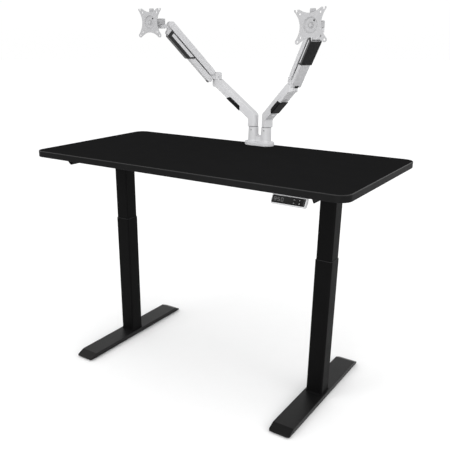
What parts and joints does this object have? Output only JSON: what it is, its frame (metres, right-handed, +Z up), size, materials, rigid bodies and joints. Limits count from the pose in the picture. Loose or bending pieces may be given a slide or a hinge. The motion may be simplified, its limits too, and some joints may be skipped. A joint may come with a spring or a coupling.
{
  "type": "height-adjustable standing desk",
  "caption": "Sit-stand desk: black rectangular top on telescoping square columns with flat feet, keypad under the front edge, and a clamped pair of pale gas-spring screen arms.",
  "frame": {"origin": "on the floor, under the centre of the object's box, which is also the centre of the desktop in plan", "axes": "+X to the sitter's right, -Y faces the sitter, +Z up"},
  "size_m": [1.4, 0.72, 1.5148],
  "materials": {
    "desktop_laminate": "matt black laminate, fine texture",
    "black_steel": "fine-texture black powder coat",
    "bright_steel": "machined steel",
    "brass_nut": "machined brass",
    "black_plastic": "matt moulded black",
    "gloss_black": "gloss black face with printed symbols",
    "silver_plastic": "pale silver moulding",
    "nylon": "dark low-friction liner",
    "rubber_black": "moulded glide",
    "arm_white": "satin pale grey-white paint"
  },
  "bodies": {
    "left_leg": {"foot_left": "black_steel", "outer_tube_left": "black_steel", "glide_sleeve_left": "nylon", "screw_nut_left": "brass_nut"},
    "top": {"desktop": "desktop_laminate", "side_bracket_left": "black_steel", "side_bracket_right": "black_steel", "crossbar_front": "black_steel", "crossbar_rear": "black_steel", "leg_head_left": "black_steel", "leg_head_right": "black_steel", "gearbox_left": "bright_steel", "gearbox_right": "bright_steel", "drive_motor_left": "black_plastic", "drive_motor_right": "black_plastic", "inner_tube_left": "black_steel", "inner_tube_right": "black_steel", "control_box": "black_plastic", "keypad_housing": "silver_plastic", "keypad_panel": "gloss_black", "arm_base": "arm_white", "clamp_bracket": "arm_white"},
    "right_leg": {"foot_right": "black_steel", "outer_tube_right": "black_steel", "glide_sleeve_right": "nylon", "screw_nut_right": "brass_nut"},
    "screw_left": {"lead_screw_left": "bright_steel"},
    "glide_front_left": {"glide_front_left": "rubber_black"},
    "glide_rear_left": {"glide_rear_left": "rubber_black"},
    "screw_right": {"lead_screw_right": "bright_steel"},
    "glide_front_right": {"glide_front_right": "rubber_black"},
    "glide_rear_right": {"glide_rear_right": "rubber_black"},
    "key_up": {"key_up": "black_plastic"},
    "key_down": {"key_down": "black_plastic"},
    "key_memory_1": {"key_memory_1": "black_plastic"},
    "key_memory_2": {"key_memory_2": "black_plastic"},
    "clamp_screw": {"clamp_screw": "black_plastic"},
    "left_lower": {"left_lower_arm": "arm_white", "left_lower_clip": "black_plastic"},
    "left_elbow": {"left_elbow_knuckle": "arm_white"},
    "left_spring_arm": {"left_arm_shell": "arm_white", "left_gas_spring": "bright_steel"},
    "left_link": {"left_arm_link": "arm_white", "left_arm_clip": "black_plastic"},
    "left_end": {"left_end_bracket": "arm_white"},
    "left_pan": {"left_pan_block": "arm_white"},
    "left_tilt": {"left_tilt_block": "arm_white"},
    "left_plate": {"left_screen_plate": "arm_white"},
    "right_lower": {"right_lower_arm": "arm_white", "right_lower_clip": "black_plastic"},
    "right_elbow": {"right_elbow_knuckle": "arm_white"},
    "right_spring_arm": {"right_arm_shell": "arm_white", "right_gas_spring": "bright_steel"},
    "right_link": {"right_arm_link": "arm_white", "right_arm_clip": "black_plastic"},
    "right_end": {"right_end_bracket": "arm_white"},
    "right_pan": {"right_pan_block": "arm_white"},
    "right_tilt": {"right_tilt_block": "arm_white"},
    "right_plate": {"right_screen_plate": "arm_white"}
  },
  "joints": [
    {"name": "lift", "type": "slide", "parent": "left_leg", "child": "top", "axis": [0, 0, 1], "range_m": [-0.23, 0.23]},
    {"name": "lift_right", "type": "slide", "parent": "top", "child": "right_leg", "axis": [0, 0, -1], "range_m": [-0.23, 0.23]},
    {"name": "screw_left_turn", "type": "hinge", "parent": "top", "child": "screw_left", "pos_m": [-0.507, 0, 0.6], "axis": [0, 0, 1], "range_deg": [-8400, 8400]},
    {"name": "glide_front_left_level", "type": "slide", "parent": "left_leg", "child": "glide_front_left", "axis": [0, 0, -1], "range_m": [0, 0.006]},
    {"name": "glide_rear_left_level", "type": "slide", "parent": "left_leg", "child": "glide_rear_left", "axis": [0, 0, -1], "range_m": [0, 0.006]},
    {"name": "screw_right_turn", "type": "hinge", "parent": "top", "child": "screw_right", "pos_m": [0.507, 0, 0.6], "axis": [0, 0, 1], "range_deg": [-8400, 8400]},
    {"name": "glide_front_right_level", "type": "slide", "parent": "right_leg", "child": "glide_front_right", "axis": [0, 0, -1], "range_m": [0, 0.006]},
    {"name": "glide_rear_right_level", "type": "slide", "parent": "right_leg", "child": "glide_rear_right", "axis": [0, 0, -1], "range_m": [0, 0.006]},
    {"name": "key_up_press", "type": "slide", "parent": "top", "child": "key_up", "axis": [0, 0.91, -0.4147], "range_m": [0, 0.0006], "stiffness_N_per_m": 1500},
    {"name": "key_down_press", "type": "slide", "parent": "top", "child": "key_down", "axis": [0, 0.91, -0.4147], "range_m": [0, 0.0006], "stiffness_N_per_m": 1500},
    {"name": "key_memory_1_press", "type": "slide", "parent": "top", "child": "key_memory_1", "axis": [0, 0.91, -0.4147], "range_m": [0, 0.0006], "stiffness_N_per_m": 1500},
    {"name": "key_memory_2_press", "type": "slide", "parent": "top", "child": "key_memory_2", "axis": [0, 0.91, -0.4147], "range_m": [0, 0.0006], "stiffness_N_per_m": 1500},
    {"name": "clamp_travel", "type": "slide", "parent": "top", "child": "clamp_screw", "axis": [0, 0, 1], "range_m": [-0.03, 0]},
    {"name": "left_base_swivel", "type": "hinge", "parent": "top", "child": "left_lower", "pos_m": [-0.012, 0.31, 1.031], "axis": [0, 0, 1], "range_deg": [-80, 80]},
    {"name": "left_elbow_swivel", "type": "hinge", "parent": "left_lower", "child": "left_elbow", "pos_m": [-0.19737, 0.29476, 1.226], "axis": [0, 0, 1], "range_deg": [-60, 60]},
    {"name": "left_arm_pitch", "type": "hinge", "parent": "left_elbow", "child": "left_spring_arm", "pos_m": [-0.21751, 0.26861, 1.253], "axis": [-0.7923, 0.6101, 0], "range_deg": [-82, 13]},
    {"name": "left_link_pitch", "type": "hinge", "parent": "left_elbow", "child": "left_link", "pos_m": [-0.22135, 0.26362, 1.2247], "axis": [-0.7923, 0.6101, 0], "range_deg": [-83, 14]},
    {"name": "left_end_level", "type": "hinge", "parent": "left_spring_arm", "child": "left_end", "pos_m": [-0.32695, 0.1265, 1.44535], "axis": [-0.7923, 0.6101, 0], "range_deg": [-14, 83]},
    {"name": "left_head_pan", "type": "hinge", "parent": "left_end", "child": "left_pan", "pos_m": [-0.35074, 0.0956, 1.45635], "axis": [0, 0, 1], "range_deg": [-117.6, 42.4]},
    {"name": "left_head_tilt", "type": "hinge", "parent": "left_pan", "child": "left_tilt", "pos_m": [-0.35074, 0.05761, 1.45635], "axis": [-1, 0, 0], "range_deg": [-15, 35]},
    {"name": "left_plate_turn", "type": "hinge", "parent": "left_tilt", "child": "left_plate", "pos_m": [-0.35074, 0.01861, 1.45635], "axis": [0, -1, 0], "range_deg": [-90, 90]},
    {"name": "right_base_swivel", "type": "hinge", "parent": "top", "child": "right_lower", "pos_m": [0.052, 0.31, 1.031], "axis": [0, 0, 1], "range_deg": [-80, 80]},
    {"name": "right_elbow_swivel", "type": "hinge", "parent": "right_lower", "child": "right_elbow", "pos_m": [0.21499, 0.22039, 1.226], "axis": [0, 0, 1], "range_deg": [-60, 60]},
    {"name": "right_arm_pitch", "type": "hinge", "parent": "right_elbow", "child": "right_spring_arm", "pos_m": [0.238, 0.19674, 1.253], "axis": [-0.7169, -0.6972, 0], "range_deg": [-76.2, 18.8]},
    {"name": "right_link_pitch", "type": "hinge", "parent": "right_elbow", "child": "right_link", "pos_m": [0.24239, 0.19222, 1.2247], "axis": [-0.7169, -0.6972, 0], "range_deg": [-77.2, 19.8]},
    {"name": "right_end_level", "type": "hinge", "parent": "right_spring_arm", "child": "right_end", "pos_m": [0.37596, 0.05487, 1.42623], "axis": [-0.7169, -0.6972, 0], "range_deg": [-19.8, 77.2]},
    {"name": "right_head_pan", "type": "hinge", "parent": "right_end", "child": "right_pan", "pos_m": [0.40315, 0.02691, 1.43724], "axis": [0, 0, 1], "range_deg": [-35.8, 124.2]},
    {"name": "right_head_tilt", "type": "hinge", "parent": "right_pan", "child": "right_tilt", "pos_m": [0.40315, -0.01109, 1.43724], "axis": [-1, 0, 0], "range_deg": [-15, 35]},
    {"name": "right_plate_turn", "type": "hinge", "parent": "right_tilt", "child": "right_plate", "pos_m": [0.40315, -0.05009, 1.43724], "axis": [0, -1, 0], "range_deg": [-94.9, 85.1]}
  ],
  "couplings": [
    {"joint": "lift_right", "follows": "lift", "ratio": 1},
    {"joint": "screw_left_turn", "follows": "lift", "rad_per_m": 628.32},
    {"joint": "screw_right_turn", "follows": "lift", "rad_per_m": 628.32},
    {"joint": "left_link_pitch", "follows": "left_arm_pitch", "ratio": 1},
    {"joint": "left_end_level", "follows": "left_arm_pitch", "ratio": -1},
    {"joint": "right_link_pitch", "follows": "right_arm_pitch", "ratio": 1},
    {"joint": "right_end_level", "follows": "right_arm_pitch", "ratio": -1}
  ]
}
